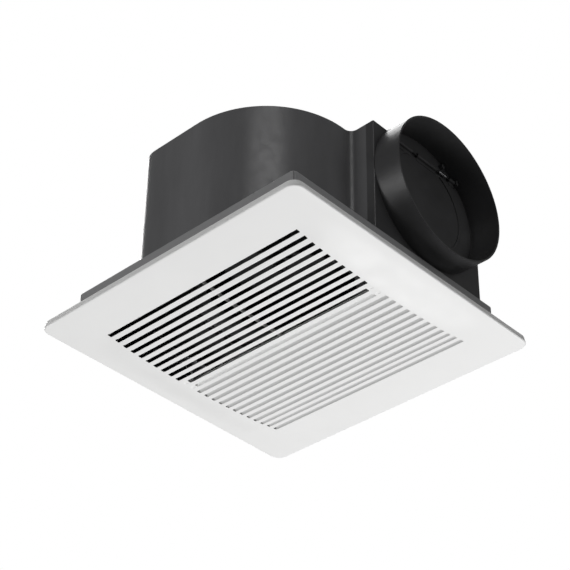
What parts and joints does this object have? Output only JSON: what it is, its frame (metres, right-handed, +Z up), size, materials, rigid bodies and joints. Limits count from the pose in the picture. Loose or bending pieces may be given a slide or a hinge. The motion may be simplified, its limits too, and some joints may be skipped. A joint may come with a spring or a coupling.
{
  "type": "bathroom extractor fan",
  "caption": "Square ceiling extractor fan: slatted drop-down grille on V springs, scroll housing with centrifugal wheel, round side duct collar with backdraft flap.",
  "frame": {"origin": "centre of the four fixing holes, on the ceiling surface that the lip presses against", "axes": "+Z up into the ceiling, -Y along the duct collar towards its open end, +X to the side that the collar is offset to"},
  "size_m": [0.32, 0.3228, 0.1984],
  "materials": {
    "grille_white": "satin moulded",
    "black_plastic": "fine satin moulded",
    "duct_plastic": "fine satin moulded",
    "flap_plastic": "satin",
    "wheel_plastic": "satin",
    "box_plastic": "satin",
    "terminal_plastic": "natural nylon",
    "capacitor_plastic": "satin",
    "zinc_steel": "zinc plated sheet",
    "lamination_steel": "stacked laminations",
    "spring_steel": "drawn wire",
    "screw_steel": "zinc plated",
    "brass": "machined",
    "bearing_bronze": "sintered",
    "copper_winding": "enamelled copper",
    "rotor_aluminium": "die cast",
    "rubber": "moulded",
    "lead_sheath": "soft sheath",
    "clip_nylon": "nylon"
  },
  "bodies": {
    "housing": {"base_frame": "black_plastic", "cable_grommet": "rubber", "capacitor_lead": "lead_sheath", "capacitor_screws": "screw_steel", "catch_screws": "screw_steel", "ceiling_flange": "black_plastic", "cord_clamp": "box_plastic", "cord_clamp_screws": "screw_steel", "cover_screws": "screw_steel", "flap_pin": "spring_steel", "flap_seal": "rubber", "flap_spring": "spring_steel", "housing_screws": "screw_steel", "inlet_ring": "black_plastic", "inlet_screws": "screw_steel", "lead_clip": "clip_nylon", "lead_clip_screw": "screw_steel", "lead_grommet": "rubber", "lower_bearing": "bearing_bronze", "motor_hanger": "zinc_steel", "motor_lead": "lead_sheath", "motor_lower_shell": "zinc_steel", "motor_rubbers": "rubber", "motor_screws": "screw_steel", "motor_tie_screws": "screw_steel", "motor_upper_shell": "zinc_steel", "outlet_adaptor": "duct_plastic", "run_capacitor": "capacitor_plastic", "scroll_housing": "black_plastic", "spring_catches": "zinc_steel", "stator_core": "lamination_steel", "stator_winding": "copper_winding", "terminal_block": "terminal_plastic", "terminal_screws": "brass", "top_cover": "black_plastic", "upper_bearing": "bearing_bronze", "wiring_box": "box_plastic", "wiring_box_cover": "box_plastic", "wiring_box_cover_screws": "screw_steel", "wiring_box_screws": "screw_steel"},
    "grille": {"grille_panel": "grille_white", "spring_holders": "zinc_steel", "spring_holder_screws": "screw_steel", "spring_pins": "spring_steel", "spring_coils": "spring_steel"},
    "legs_left": {"spring_legs_left": "spring_steel"},
    "legs_right": {"spring_legs_right": "spring_steel"},
    "flap": {"damper_flap": "flap_plastic"},
    "impeller": {"impeller_back_plate": "wheel_plastic", "impeller_blades": "wheel_plastic", "impeller_ring": "wheel_plastic", "impeller_bush": "brass", "impeller_washer": "screw_steel", "impeller_nut": "screw_steel", "motor_shaft": "spring_steel", "rotor_core": "lamination_steel", "rotor_end_rings": "rotor_aluminium"}
  },
  "joints": [
    {"name": "grille_drop", "type": "slide", "parent": "housing", "child": "grille", "axis": [0, 0, -1], "range_m": [0, 0.035], "stiffness_N_per_m": 250, "springref_m": -0.05},
    {"name": "legs_left_fold", "type": "hinge", "parent": "grille", "child": "legs_left", "pos_m": [0, 0, 0.002], "axis": [0, 1, 0], "range_deg": [0, 35]},
    {"name": "legs_right_fold", "type": "hinge", "parent": "grille", "child": "legs_right", "pos_m": [0, 0, 0.002], "axis": [0, -1, 0], "range_deg": [0, 35]},
    {"name": "flap_swing", "type": "hinge", "parent": "housing", "child": "flap", "pos_m": [0.0457, -0.133, 0.1591], "axis": [-1, 0, 0], "range_deg": [0, 50], "stiffness_Nm_per_rad": 0.01, "springref_deg": -17.19},
    {"name": "impeller_spin", "type": "hinge", "parent": "housing", "child": "impeller", "pos_m": [-0.0085, 0, 0.1], "axis": [0, 0, 1], "continuous": true}
  ],
  "couplings": [
    {"joint": "legs_left_fold", "follows": "grille_drop", "rad_per_m": 16.95},
    {"joint": "legs_right_fold", "follows": "grille_drop", "rad_per_m": 16.95}
  ]
}
